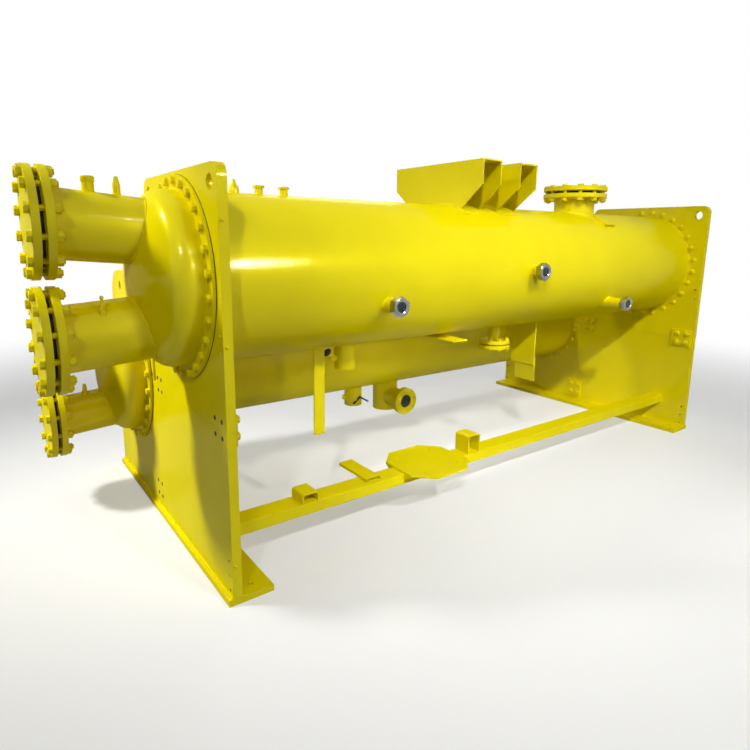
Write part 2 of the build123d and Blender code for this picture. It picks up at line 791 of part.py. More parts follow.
def make_pedestal():
    """Octagonal plate on the channel with four bolt holes and gussets against the channel's sides."""
    outline = Rectangle(pedestal_size, pedestal_size)
    outline = chamfer(outline.vertices(), pedestal_chamfer)
    for x in (-pedestal_hole_pitch / 2, pedestal_hole_pitch / 2):
        for y in (-pedestal_hole_pitch / 2, pedestal_hole_pitch / 2):
            outline -= Pos(x, y) * Circle(pedestal_hole_radius)
    place = Pos(pedestal_x, channel_front + channel_width / 2, channel_top)
    pedestal = place * extrude(outline, amount=pedestal_thickness)
    gusset = Polyline(
        (channel_front, channel_top),
        (channel_front - gusset_reach, channel_top),
        (channel_front, channel_top - gusset_drop),
        close=True,
    )
    middle = Plane.XZ.offset(-(channel_front + channel_width / 2))
    edge = pedestal_size / 2
    for x in (pedestal_x - edge, pedestal_x + edge - gusset_thickness):
        plate = extrude(Plane.YZ.offset(x) * make_face(gusset), amount=gusset_thickness)
        pedestal += [plate, mirror(plate, about=middle)]
    return pedestal


pieces = {}
for name, plate in make_end_plates().items():
    for end, copy in both_ends(plate).items():
        pieces[f"{end}_{name}"] = copy
for end, copy in both_ends(make_foot()).items():
    pieces[f"{end}_foot"] = copy
splices = [copy for splice in make_splices() for copy in both_ends(splice).values()]
pieces["splice_plates"] = Compound(children=splices)

pieces["front_shell"] = make_front_shell()
pieces["rear_shell"] = make_rear_shell()
front_place = left_head_place(front_axis_y, front_axis_height)
rear_place = left_head_place(rear_axis_y, rear_axis_height)
front_box = make_water_box(
    front_shell_radius, front_nozzle_offset, front_nozzle_reach, front_pipe_radius,
)
rear_box = make_water_box(rear_shell_radius, rear_nozzle_offset, rear_nozzle_reach, rear_pipe_radius)
pieces["front_water_box"] = front_place * front_box
pieces["rear_water_box"] = rear_place * rear_box
front_far_place = right_head_place(front_axis_y, front_axis_height)
rear_far_place = right_head_place(rear_axis_y, rear_axis_height)
pieces["front_return_head"] = front_far_place * make_head(front_shell_radius)
pieces["rear_return_head"] = rear_far_place * make_head(rear_shell_radius)
front_nozzles, front_gaskets = make_water_nozzles(
    "front", front_shell_radius, front_nozzle_offset, front_nozzle_reach, front_pipe_radius,
    front_flange_radius, front_face_radius, front_place,
)
rear_nozzles, rear_gaskets = make_water_nozzles(
    "rear", rear_shell_radius, rear_nozzle_offset, rear_nozzle_reach, rear_pipe_radius,
    rear_flange_radius, rear_face_radius, rear_place,
)
pieces.update(front_nozzles)
pieces.update(rear_nozzles)
pieces["water_nozzle_gaskets"] = Compound(children=front_gaskets + rear_gaskets)

pieces["top_nozzle"], pieces["top_blind_flange"], top_gasket = make_top_nozzle()
pieces["bottom_nozzle"], pieces["bottom_blind_flange"], bottom_gasket = make_bottom_nozzle()
pieces["shell_nozzle_gaskets"] = Compound(children=[top_gasket, bottom_gasket])
pieces["couplings"] = Compound(children=make_nozzle_fittings() + make_shell_couplings())

pieces["left_box_beam"] = make_beam(beam_xs[0])
pieces["right_box_beam"] = make_beam(beam_xs[1])
pieces["beam_pads"] = make_beam_pads()
pieces["corner_clip"] = make_clip()
pieces["sight_glass_stubs"], pieces["sight_glass_nuts"], lenses = make_sight_glasses()

pieces["hanging_strap"] = make_strap()
pieces["front_drain"] = make_drain()
pieces["under_shelf"] = make_shelf()
pieces["hanger_bracket"] = make_hanger()
pieces["rear_drain_pot"] = make_pot()
pieces["rear_sump"], sump_lens = make_sump()
pieces["sight_glass_lenses"] = Compound(children=lenses + [sump_lens])

pieces["cross_channel"] = make_channel()
pieces["pedestal_plate"] = make_pedestal()
tall_stub = bent_stub(tall_stub_x, tall_stub_width, tall_stub_height)
short_stub = bent_stub(short_stub_x, short_stub_width, short_stub_height)
pieces["stub_tubes"] = Compound(children=[tall_stub, short_stub])
pieces["flat_tube"] = make_flat_tube()

os.makedirs("parts", exist_ok=True)
for name, piece in pieces.items():
    export_step(to_origin * piece, f"parts/{name}.step")
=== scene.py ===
import json
import math

import bpy
import numpy as np
from mathutils import Matrix, Vector


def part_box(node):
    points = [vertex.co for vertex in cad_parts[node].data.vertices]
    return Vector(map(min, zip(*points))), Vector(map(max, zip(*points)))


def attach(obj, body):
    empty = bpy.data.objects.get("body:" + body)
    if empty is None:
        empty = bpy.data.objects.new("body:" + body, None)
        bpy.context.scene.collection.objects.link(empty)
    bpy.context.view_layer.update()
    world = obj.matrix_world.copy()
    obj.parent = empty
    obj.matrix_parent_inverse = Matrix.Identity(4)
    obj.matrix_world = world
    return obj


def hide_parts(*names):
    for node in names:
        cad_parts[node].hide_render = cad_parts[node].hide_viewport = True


# A yellow twin shell and tube heat exchanger: bolts, weld beads, sight glasses and small valves laid over the
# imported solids, with the paint, rubber, chrome and glass of each surface. Everything is in metres.

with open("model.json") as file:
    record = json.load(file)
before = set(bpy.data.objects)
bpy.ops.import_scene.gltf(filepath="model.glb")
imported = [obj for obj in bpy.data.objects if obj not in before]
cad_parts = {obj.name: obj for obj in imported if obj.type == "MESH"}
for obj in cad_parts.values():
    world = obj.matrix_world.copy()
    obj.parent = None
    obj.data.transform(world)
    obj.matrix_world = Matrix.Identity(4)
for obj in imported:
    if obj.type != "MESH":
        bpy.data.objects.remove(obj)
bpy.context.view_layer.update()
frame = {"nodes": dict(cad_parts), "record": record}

YELLOW = "yellow_paint"
RUBBER = "gasket_rubber"
CHROME = "sight_chrome"
GLASS = "sight_glass"

# Sizes of the fasteners
ring_bolt_flats = 0.036
ring_bolt_head = 0.015
ring_nut_height = 0.0155
ring_nut_washer = 0.004
paint_dome = 0.004
ring_bolt_circle = 0.040
front_ring_bolt_count = 28
rear_ring_bolt_count = 24
joint_bolt_head = 0.017
top_bolt_head = 0.009
joint_nut_flats = 0.041
joint_nut_height = 0.022
joint_stud_radius = 0.0135
joint_stud_over = 0.006
joint_bolt_count = 12
joint_bolt_circle = 0.216
small_nut_flats = 0.024
small_nut_height = 0.013
small_stud_radius = 0.008
small_stud_over = 0.006
small_bolt_circle = 0.090
small_bolt_count = 8
sump_glass_radius = 0.0567
sump_screw_circle = 0.088
sump_screw_count = 8
sump_screw_start = 0.2
sump_screw_flats = 0.015
sump_screw_height = 0.008
chamfer_share = 0.475
thread_lap = 0.004
thread_pitch = 0.003
thread_root_share = 0.90
washer_share = 1.176
washer_thickness = 0.003

# Sizes of the solids that the weld beads and bolts follow
plate_ring_thickness = 0.018
head_skirt = 0.057
crown_share = 2
knuckle_share = 0.1
neck_lean = math.radians(4.5)
front_flange_margin = 0.0875
rear_flange_margin = 0.1135
small_flange_margin = 0.0675
flange_thickness = 0.032
raised_face = 0.004
small_flange_thickness = 0.026
small_raised_face = 0.002
pad_thickness = 0.010
pad_overhang = 0.010
pad_angles = (60, 120)
web_angles = (63.3, 113.8)
splice_thickness = 0.015
hanger_web = 0.012
hanger_back = 0.157
sight_stub_radius = 0.040
edge_plug_inset = 0.016
edge_plug_heights = (0.198, 1.233, 1.765)
slot_strip_low = 0.870
slot_strip_high = 1.040
slot_strip_inset = 0.012
# Black bands at the seams of the heads' rings and end plates, painted shade of the gap there
gap_shade_band_over = 0.0010
gap_shade_band_depth = 0.0040
gap_shade_band_thickness = 0.0032

# Weld beads
bead_ripple = 0.007
bead_ripple_depth = 0.12
bead_steps = 3
bead_end_gap = 0.005
heavy_bead = 0.007
middle_bead = 0.006
light_bead = 0.005
fine_bead = 0.004

# Angle from which a new piece keeps a sharp edge
sharp_edge = math.radians(38)


def box_of(node):
    """Lowest and highest corner of a solid as arrays."""
    low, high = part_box(node)
    return np.array(low), np.array(high)


sheet_low, sheet_high = box_of("left_front_tube_sheet")
far_low, far_high = box_of("right_front_tube_sheet")
foot_low, foot_high = box_of("left_foot")
corner = np.array([sheet_low[0], sheet_low[1], 0.0])


def vessel(node):
    """Axis place in y and z, and radius, of a shell that lies along x."""
    low, high = box_of(node)
    return (low[1:] + high[1:]) / 2, (high[2] - low[2]) / 2


front_axis, front_radius = vessel("front_shell")
rear_axis, rear_radius = vessel("rear_shell")


def from_corner(x, y, z):
    """Place measured from the front lower corner of the left end plates, on the floor."""
    return corner + np.array([x, y, z])


# Shapes: a shape is an array of points and a list of face arrays, each with faces of one size

def grid_faces(rows, columns, rows_join=False):
    """Corner numbers of the quads of a grid whose columns join up, and whose rows join up if asked."""
    row, column = np.meshgrid(np.arange(rows if rows_join else rows - 1), np.arange(columns), indexing="ij")
    next_row = (row + 1) % rows
    next_column = (column + 1) % columns
    quads = np.stack([
        row * columns + column, row * columns + next_column,
        next_row * columns + next_column, next_row * columns + column,
    ], axis=-1)
    return quads.reshape(-1, 4)


def end_faces(rows, columns):
    """Corner numbers of the flat faces that close the first and the last row of a grid."""
    first = np.arange(columns)[::-1]
    last = (rows - 1) * columns + np.arange(columns)
    return np.stack([first, last])


def turned(profile, sides=24):
    """Turned solid: rows of (radius, height), from the lowest up, carried round z, with flat ends."""
    radius, height = np.array(profile, float).T
    angle = np.arange(sides) * 2 * math.pi / sides
    points = np.stack([
        radius[:, None] * np.cos(angle), radius[:, None] * np.sin(angle),
        np.broadcast_to(height[:, None], (len(radius), sides)),
    ], axis=-1)
    return points.reshape(-1, 3), [grid_faces(len(radius), sides), end_faces(len(radius), sides)]


def hexagon(flats, sides=24):
    """Radius of a hexagon at a row of angles: half the flats over the cosine from the nearest flat."""
    angle = np.arange(sides) * 2 * math.pi / sides
    from_flat = (angle + math.pi / 6) % (math.pi / 3) - math.pi / 6
    return angle, flats / 2 / np.cos(from_flat)


def hexagon_block(flats, height):
    """Bolt head or nut on z = 0: hexagon sides, a 30 degree chamfer above them and a round flat top."""
    angle, rim = hexagon(flats)
    circle = np.full_like(rim, chamfer_share * flats)
    radius = np.stack([rim, rim, circle])
    drop = (rim - circle) * math.tan(math.pi / 6)
    level = np.stack([np.zeros_like(rim), height - drop, np.full_like(rim, height)])
    points = np.stack([radius * np.cos(angle), radius * np.sin(angle), level], axis=-1)
    return points.reshape(-1, 3), [grid_faces(3, len(angle)), end_faces(3, len(angle))]


def threaded_rod(radius, low, high):
    """Rod along z with thread ridges: rows by turns at crest and root, two to a pitch."""
    count = max(2, int(round((high - low) / thread_pitch)) * 2)
    level = np.linspace(low, high, count + 1)
    ridge = radius * np.where(np.arange(count + 1) % 2, thread_root_share, 1.0)
    return turned(np.stack([ridge, level], axis=-1), 12)


def joined(*shapes):
    """One shape out of several: points in a row, corner numbers moved along."""
    starts = np.cumsum([0] + [len(points) for points, faces in shapes])
    points = np.concatenate([points for points, faces in shapes])
    return points, [face + start for start, (_, faces) in zip(starts, shapes) for face in faces]


def moved(shape, turn, place):
    """The shape turned by a matrix and moved to a place."""
    points, faces = shape
    return points @ np.array(turn, float).T + place, faces


def copied(shape, turns, places):
    """Copies of a shape, each with its own turn matrix and place, as one shape."""
    points, faces = shape
    all_points = np.einsum("kij,nj->kni", turns, points) + places[:, None, :]
    shift = (len(points) * np.arange(len(places)))[:, None, None]
    return all_points.reshape(-1, 3), [(face[None] + shift).reshape(-1, face.shape[1]) for face in faces]


def facing(direction):
    """Turn matrix that sends z to a direction, with its first column as near to +y as it goes, or +x."""
    out = np.array(direction, float)
    out = out / np.linalg.norm(out)
    side = np.array([0.0, 1.0, 0.0]) if abs(out[1]) < 0.9 else np.array([1.0, 0.0, 0.0])
    first = side - out * (side @ out)
    first = first / np.linalg.norm(first)
    return np.stack([first, np.cross(out, first), out], axis=1)


def spun(angles):
    """Turn matrices about z for a row of angles."""
    cosine, sine, none = np.cos(angles), np.sin(angles), np.zeros_like(angles)
    first = np.stack([cosine, -sine, none], axis=-1)
    second = np.stack([sine, cosine, none], axis=-1)
    third = np.stack([none, none, none + 1], axis=-1)
    return np.stack([first, second, third], axis=1)


twists = np.random.default_rng(7)


def bolt_circle(shape, centre, direction, radius, count, start=None):
    """Copies of a fastener on a circle about a direction, each with a twist of its own. The first lies half a
    pitch round from the side, unless a start angle is given."""
    turn = facing(direction)
    first = math.pi / count if start is None else start
    angle = first + np.arange(count) * 2 * math.pi / count
    places = centre + radius * (np.cos(angle)[:, None] * turn[:, 0] + np.sin(angle)[:, None] * turn[:, 1])
    twist = twists.uniform(0, math.pi / 3, count)
    return copied(shape, turn @ spun(twist), places)


def bolt_rows(shape, places, direction):
    """Copies of a fastener at given places, all facing one way."""
    places = np.array(places)
    twist = twists.uniform(0, math.pi / 3, len(places))
    return copied(shape, facing(direction) @ spun(twist), places)


def even_path(points, step, loop):
    """Points spread evenly along a path, about a step apart, found by the length run from its start."""
    points = np.array(points, float)
    if loop:
        points = np.concatenate([points, points[:1]])
    run = np.concatenate([[0], np.cumsum(np.linalg.norm(np.diff(points, axis=0), axis=1))])
    count = max(3, int(run[-1] / step))
    stations = np.linspace(0, run[-1], count + 1)
    if loop:
        stations = stations[:-1]
    return np.stack([np.interp(stations, run, points[:, i]) for i in range(3)], axis=-1), stations


def weld_bead(points, size, loop=True, sides=8):
    """Weld bead: a round section carried along a path, rippled as laid drops, with a slow wander."""
    path, run = even_path(points, bead_ripple / bead_steps, loop)
    if loop:
        along = np.roll(path, -1, axis=0) - np.roll(path, 1, axis=0)
    else:
        along = np.gradient(path, axis=0)
    along = along / np.linalg.norm(along, axis=1, keepdims=True)
    guide = np.where(np.abs(along[:, :1]) > 0.9, [[0.0, 0.0, 1.0]], [[1.0, 0.0, 0.0]])
    side = guide - along * np.sum(guide * along, axis=1, keepdims=True)
    side = side / np.linalg.norm(side, axis=1, keepdims=True)
    other = np.cross(along, side)
    wander = 0.06 * np.sin(run / 0.043) + 0.05 * np.sin(run / 0.017 + 1)
    radius = size * (1 + bead_ripple_depth * np.sin(2 * math.pi * run / bead_ripple) + wander)
    angle = np.arange(sides) * 2 * math.pi / sides
    ring = np.cos(angle)[None, :, None] * side[:, None] + np.sin(angle)[None, :, None] * other[:, None]
    surface = path[:, None] + radius[:, None, None] * ring
    faces = [grid_faces(len(path), sides, rows_join=loop)]
    if not loop:
        faces.append(end_faces(len(path), sides))
    return surface.reshape(-1, 3), faces


def lay_piece(name, shape, material, stands_for=()):
    """Puts a shape into a mesh object that rides on the fixed body and takes a material."""
    points, faces = shape
    mesh = bpy.data.meshes.new(name)
    mesh.from_pydata(points.tolist(), [], [face for array in faces for face in array.tolist()])
    mesh.polygons.foreach_set("use_smooth", np.ones(len(mesh.polygons), bool))
    mesh.set_sharp_from_angle(angle=sharp_edge)
    mesh.update()
    mesh.materials.append(material)
    piece = bpy.data.objects.new(name, mesh)
    bpy.context.scene.collection.objects.link(piece)
    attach(piece, "root")
    if stands_for:
        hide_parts(*stands_for)


# Materials

def new_material(name):
    """Empty node material with its principled shader and its object coordinates."""
    material = bpy.data.materials.new(name)
    material.use_nodes = True
    nodes = material.node_tree.nodes
    place = nodes.new("ShaderNodeTexCoord").outputs["Object"]
    return material, nodes, material.node_tree.links, nodes["Principled BSDF"], place


def noise_field(nodes, links, place, stretch, scale, detail=3.0):
    """Noise over the object coordinates, stretched by a mapping."""
    mapping = nodes.new("ShaderNodeMapping")
    mapping.inputs["Scale"].default_value = stretch
    links.new(place, mapping.inputs["Vector"])
    noise = nodes.new("ShaderNodeTexNoise")
    noise.inputs["Scale"].default_value = scale
    noise.inputs["Detail"].default_value = detail
    links.new(mapping.outputs["Vector"], noise.inputs["Vector"])
    return noise.outputs["Fac"]


def ranged(nodes, links, value, low, high):
    """A noise value carried from its middle range to a new range."""
    spread = nodes.new("ShaderNodeMapRange")
    spread.inputs["From Min"].default_value = 0.3
    spread.inputs["From Max"].default_value = 0.7
    spread.inputs["To Min"].default_value = low
    spread.inputs["To Max"].default_value = high
    links.new(value, spread.inputs["Value"])
    return spread.outputs["Result"]


def blended(nodes, links, share, first, second):
    """Colour between two colours by a share."""
    mix = nodes.new("ShaderNodeMix")
    mix.data_type = "RGBA"
    mix.inputs["A"].default_value = (*first, 1)
    mix.inputs["B"].default_value = (*second, 1)
    links.new(share, mix.inputs["Factor"])
    return mix.outputs["Result"]


def raised(nodes, links, value, distance, strength, under=None):
    """Bump from a height value, over another normal where one is given."""
    bump = nodes.new("ShaderNodeBump")
    bump.inputs["Distance"].default_value = distance
    bump.inputs["Strength"].default_value = strength
    links.new(value, bump.inputs["Height"])
    if under is not None:
        links.new(under, bump.inputs["Normal"])
    return bump.outputs["Normal"]


def yellow_paint(name, stroke):
    """Gloss yellow machine paint: thin and thick patches in the colour, edges rounded by the paint film, and
    a clear coat whose orange peel and brush strokes show in the highlights."""
    material, nodes, links, shader, place = new_material(name)
    patch = noise_field(nodes, links, place, (1, 1, 1), 2.2, 4.0)
    share = ranged(nodes, links, patch, 0, 1)
    colour = blended(nodes, links, share, (0.80, 0.670, 0.001), (0.84, 0.720, 0.002))
    links.new(colour, shader.inputs["Base Color"])
    links.new(ranged(nodes, links, patch, 0.30, 0.38), shader.inputs["Roughness"])
    rounded = nodes.new("ShaderNodeBevel")
    rounded.samples = 4
    rounded.inputs["Radius"].default_value = 0.003
    links.new(rounded.outputs["Normal"], shader.inputs["Normal"])
    peel = noise_field(nodes, links, place, (1, 1, 1), 130.0, 2.0)
    coat = raised(nodes, links, peel, 0.0012, 0.45, rounded.outputs["Normal"])
    strokes = noise_field(nodes, links, place, stroke, 1.0, 2.0)
    coat = raised(nodes, links, strokes, 0.0020, 0.30, coat)
    links.new(coat, shader.inputs["Coat Normal"])
    shader.inputs["Metallic"].default_value = 0.06
    shader.inputs["Specular IOR Level"].default_value = 0.0
    shader.inputs["Coat Weight"].default_value = 0.08
    shader.inputs["Coat IOR"].default_value = 2.2
    shader.inputs["Coat Roughness"].default_value = 0.10
    return material


def gasket_rubber():
    """Black sheet rubber, dusty in patches. The same black also paints the shade in the heads' seam gaps and
    the splice bolt holes.
    """
    material, nodes, links, shader, place = new_material("black_rubber_and_painted_shade")
    dust = ranged(nodes, links, noise_field(nodes, links, place, (1, 1, 1), 45.0), 0, 1)
    colour = blended(nodes, links, dust, (0.010, 0.010, 0.009), (0.026, 0.025, 0.022))
    links.new(colour, shader.inputs["Base Color"])
    links.new(ranged(nodes, links, dust, 0.65, 0.85), shader.inputs["Roughness"])
    grain = noise_field(nodes, links, place, (1, 1, 1), 600.0)
    links.new(raised(nodes, links, grain, 0.0003, 0.4), shader.inputs["Normal"])
    return material


def sight_chrome():
    """Bright plated steel with fine turning marks."""
    material, nodes, links, shader, place = new_material("polished_sight_chrome")
    haze = noise_field(nodes, links, place, (1, 1, 1), 90.0)
    colour = blended(nodes, links, haze, (0.22, 0.22, 0.22), (0.36, 0.36, 0.35))
    links.new(colour, shader.inputs["Base Color"])
    links.new(ranged(nodes, links, haze, 0.08, 0.16), shader.inputs["Roughness"])
    marks = noise_field(nodes, links, place, (1, 1, 1), 900.0)
    links.new(raised(nodes, links, marks, 0.0001, 0.15), shader.inputs["Normal"])
    shader.inputs["Metallic"].default_value = 1.0
    return material


def sight_glass():
    """Sight glass drawn opaque and near black: its colour is painted shade of the unlit inside seen through
    the glass, a little lighter in patches.
    """
    material, nodes, links, shader, place = new_material("sight_glass_painted_inner_shade")
    haze = ranged(nodes, links, noise_field(nodes, links, place, (1, 1, 1), 60.0), 0, 1)
    # Near black colour: painted shade of the vessel's unlit inside
    colour = blended(nodes, links, haze, (0.006, 0.008, 0.010), (0.028, 0.036, 0.042))
    links.new(colour, shader.inputs["Base Color"])
    links.new(ranged(nodes, links, haze, 0.02, 0.08), shader.inputs["Roughness"])
    shader.inputs["IOR"].default_value = 1.5
    shader.inputs["Specular IOR Level"].default_value = 0.3
    return material


shell_paint = yellow_paint("gloss_yellow_shell_paint", (38.0, 0.9, 0.9))
plate_paint = yellow_paint("gloss_yellow_plate_paint", (1.5, 9.0, 2.2))
rubber = gasket_rubber()
chrome = sight_chrome()
glass = sight_glass()


def finish_solids():
    """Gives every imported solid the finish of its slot, with brush strokes round the shells."""
    finishes = {YELLOW: plate_paint, RUBBER: rubber, CHROME: chrome, GLASS: glass}
    for subpart in frame["record"]["subparts"]:
        solid = frame["nodes"][subpart["node"]]
        finish = finishes[subpart["material_slot"]]
        if subpart["node"] in ("front_shell", "rear_shell"):
            finish = shell_paint
        solid.data.materials.clear()
        solid.data.materials.append(finish)


# Fasteners

def washer(flats):
    """Flat round washer on z = 0."""
    rim = flats * washer_share / 2
    return turned([(rim, 0), (rim, washer_thickness * 0.8), (rim * 0.96, washer_thickness)])


def head_bolt(flats, height):
    """Hexagon bolt head on its washer."""
    head = moved(hexagon_block(flats, height), np.eye(3), (0, 0, washer_thickness))
    return joined(washer(flats), head)


def stud_nut(flats, height, stud_radius, over):
    """Nut on its washer with the stud's end standing out of it."""
    top = washer_thickness + height
    return joined(head_bolt(flats, height), threaded_rod(stud_radius, top - thread_lap, top + over))


def domed_nut(flats, height):
    """Nut on a wide washer, its outer end filled by paint to a low dome."""
    rim = flats * chamfer_share
    share = np.linspace(1, 0.1, 5)
    dome = turned(np.stack([rim * share, paint_dome * (1 - share ** 2)], axis=-1))
    base = turned([(flats * 0.66, 0), (flats * 0.66, 0.003), (flats * 0.63, ring_nut_washer)])
    nut = moved(hexagon_block(flats, height), np.eye(3), (0, 0, ring_nut_washer))
    return joined(base, nut, moved(dome, np.eye(3), (0, 0, ring_nut_washer + height)))


def ring_bolts(name, axis, radius, outward, count):
    """Bolts of a head's ring: hexagon heads on the ring, nuts on the inner face of the end plate."""
    plate = sheet_high[0] if outward < 0 else far_low[0]
    ring = (sheet_low[0] if outward < 0 else far_high[0]) + outward * plate_ring_thickness
    circle = radius + ring_bolt_circle
    centre = np.array([ring, *axis])
    head = head_bolt(ring_bolt_flats, ring_bolt_head)
    heads = bolt_circle(head, centre, (outward, 0, 0), circle, count)
    nut = domed_nut(ring_bolt_flats, ring_nut_height)
    inner = np.array([plate, *axis])
    nuts = bolt_circle(nut, inner, (-outward, 0, 0), circle, count)
    lay_piece(name, joined(heads, nuts), plate_paint)


def joint_bolt(span, flats, head, nut, stud_radius, over, gap):
    """Bolt through a flange joint centred on z = 0: head above, nut below, bare thread in the gap."""
    top = moved(head_bolt(flats, head), np.eye(3), (0, 0, span / 2))
    under = moved(stud_nut(flats, nut, stud_radius, over), np.diag([1.0, -1.0, -1.0]), (0, 0, -span / 2))
    shank = threaded_rod(stud_radius, -gap / 2 - thread_lap, gap / 2 + thread_lap)
    return joined(top, under, shank)


def nozzle_bolts(name, nozzle, blind_outer):
    """Twelve bolts of a water nozzle's flange joint."""
    low, high = box_of(nozzle)
    back = low[0] + raised_face + flange_thickness
    span = back - blind_outer
    centre = np.array([(back + blind_outer) / 2, (low[1] + high[1]) / 2, (low[2] + high[2]) / 2])
    bolt = joint_bolt(span, joint_nut_flats, joint_bolt_head, joint_nut_height, joint_stud_radius,
                      joint_stud_over, span - 2 * flange_thickness)
    shape = bolt_circle(bolt, centre, (-1, 0, 0), joint_bolt_circle, joint_bolt_count)
    lay_piece(name, shape, plate_paint)


def top_nozzle_bolts():
    """Twelve bolts of the top nozzle's joint."""
    top = box_of("top_nozzle")[1][2]
    cover_low, cover_high = box_of("top_blind_flange")
    back = top - raised_face - flange_thickness
    span = cover_high[2] - back
    centre = np.array([*(cover_low + cover_high)[:2] / 2, (cover_high[2] + back) / 2])
    bolt = joint_bolt(span, joint_nut_flats, top_bolt_head, joint_nut_height, joint_stud_radius,
                      joint_stud_over, span - 2 * flange_thickness)
    shape = bolt_circle(bolt, centre, (0, 0, 1), joint_bolt_circle, joint_bolt_count)
    lay_piece("top_nozzle_bolts", shape, plate_paint)


def bottom_nozzle_bolts():
    """Eight small bolts of the bottom nozzle's joint."""
    bottom = box_of("bottom_nozzle")[0][2]
    cover_low, cover_high = box_of("bottom_blind_flange")
    back = bottom + small_raised_face + small_flange_thickness
    span = back - cover_low[2]
    centre = np.array([*(cover_low + cover_high)[:2] / 2, (cover_low[2] + back) / 2])
    bolt = joint_bolt(span, small_nut_flats, small_nut_height, small_nut_height, small_stud_radius,
                      small_stud_over, span - 2 * small_flange_thickness)
    shape = bolt_circle(bolt, centre, (0, 0, -1), small_bolt_circle, small_bolt_count)
    lay_piece("bottom_nozzle_bolts", shape, plate_paint)


def sump_face():
    """Middle of the sump's glass, on the front face of its flange."""
    low, high = box_of("rear_sump")
    lens_low = box_of("sight_glass_lenses")[0]
    return np.array([(low[0] + high[0]) / 2, low[1], lens_low[2] + sump_glass_radius])


def sump_screws():
    """Eight small hexagon screws round the sump's glass."""
    screw = hexagon_block(sump_screw_flats, sump_screw_height)
    shape = bolt_circle(screw, sump_face(), (0, -1, 0), sump_screw_circle, sump_screw_count, sump_screw_start)
    lay_piece("sump_ring_screws", shape, plate_paint)


# Places of the splice bolts in y and z, from the front lower corner
near_splice_bolts = [(y, z) for y in (0.055, 0.140) for z in (0.808, 0.886)]
mid_splice_bolts = [(y, z) for y in (0.984, 1.052, 1.166) for z in (0.808, 0.881)]
low_splice_bolts = [(y, z) for y in (1.104, 1.180) for z in (0.112, 0.195)]


def splice_bolts():
    """Bolts of the splice plates at both ends: nuts on the inner side, and black discs flush outside that
    paint the shade of the bolt holes.
    """
    spots = np.array(near_splice_bolts + mid_splice_bolts + low_splice_bolts)
    places = np.stack([np.zeros(len(spots)), spots[:, 0] + corner[1], spots[:, 1]], axis=-1)
    nut = domed_nut(ring_bolt_flats, ring_nut_height)
    # Flat disc on the outer face, black as painted shade of a bolt hole
    end = turned([(0.0115, -0.001), (0.0115, 0.0012), (0.0095, 0.0016), (0.0085, 0.0006)], 16)
    left = bolt_rows(nut, places + [sheet_high[0] + splice_thickness, 0, 0], (1, 0, 0))
    right = bolt_rows(nut, places + [far_low[0] - splice_thickness, 0, 0], (-1, 0, 0))
    lay_piece("splice_bolts", joined(left, right), plate_paint)
    # Black discs at the outer faces: painted shade of the bolt holes
    left_hole_shades = bolt_rows(end, places + [sheet_low[0], 0, 0], (-1, 0, 0))
    right_hole_shades = bolt_rows(end, places + [far_high[0], 0, 0], (1, 0, 0))
    lay_piece("splice_bolt_hole_shades", joined(left_hole_shades, right_hole_shades), rubber)


# Weld paths

turn_steps = np.linspace(0, 2 * math.pi, 240, endpoint=False)
root_steps = 12


def ring_path(x, axis, radius):
    """Circle about a line along x."""
    across = axis[0] + radius * np.cos(turn_steps)
    level = axis[1] + radius * np.sin(turn_steps)
    return np.stack([np.full_like(turn_steps, x), across, level], axis=-1)


def dish_reach(radial, radius):
    """How far a head stands out from its plate at a distance from its axis: a crown sphere of twice the
    shell's radius inside, a knuckle arc of a tenth of that outside, both on top of the ring and skirt."""
    crown = crown_share * radius
    knuckle = knuckle_share * crown
    spring = plate_ring_thickness + head_skirt
    rise = math.sqrt((crown - knuckle) ** 2 - (radius - knuckle) ** 2)
    meet = crown * (radius - knuckle) / (crown - knuckle)
    on_crown = spring - rise + np.sqrt(crown ** 2 - np.minimum(radial, meet) ** 2)
    outside = np.maximum(radial, meet) - (radius - knuckle)
    on_knuckle = spring + np.sqrt(np.maximum(knuckle ** 2 - outside ** 2, 0))
    return np.where(radial < meet, on_crown, on_knuckle)


def nozzle_root(nozzle, axis, radius, margin):
    """Line where a water nozzle's leaning pipe meets the dish of its head, and the ring behind its flange.
    The ring is the pipe's circle stretched in height by the lean. Towards the dish it drops by the tangent of
    the lean, and stepping between pipe and dish a few times brings each point onto both."""
    low, high = box_of(nozzle)
    y, z = (low[1:] + high[1:]) / 2
    pipe = (high[2] - low[2]) / 2 - margin
    back = low[0] + raised_face + flange_thickness
    slope = math.tan(neck_lean) * np.sign(axis[1] - z)
    across = y + pipe * np.cos(turn_steps)
    level = z + pipe / math.cos(neck_lean) * np.sin(turn_steps)
    along = np.full_like(turn_steps, back)
    collar = np.stack([along, across, level], axis=-1)
    for _ in range(root_steps):
        dropped = level + slope * (along - back)
        along = sheet_low[0] - dish_reach(np.hypot(across - axis[0], dropped - axis[1]), radius)
    return np.stack([along, across, dropped], axis=-1), collar


def upright_root(x, y, pipe, axis, radius, side, slope=0.0):
    """Line where an upright pipe meets a shell, above it for side 1 and under it for side -1. The shell's own
    level may change along x by a slope."""
    along = pipe * np.cos(turn_steps)
    across = y - axis[0] + pipe * np.sin(turn_steps)
    level = axis[1] + side * np.sqrt(radius ** 2 - across ** 2) + slope * along
    return np.stack([x + along, axis[0] + across, level], axis=-1)


def shell_arc(x, axis, radius, start, end, count=60):
    """Arc round a shell at a place along x, between two angles in degrees from +y."""
    angle = np.radians(np.linspace(start, end, count))
    across = axis[0] + radius * np.cos(angle)
    level = axis[1] + radius * np.sin(angle)
    return np.stack([np.full(count, x), across, level], axis=-1)


def shell_welds():
    """Beads where the shells meet the end plates."""
    beads = []
    for axis, radius in ((front_axis, front_radius), (rear_axis, rear_radius)):
        for x in (sheet_high[0], far_low[0]):
            beads.append(weld_bead(ring_path(x, axis, radius + 0.001), heavy_bead))
    lay_piece("shell_seam_welds", joined(*beads), plate_paint)


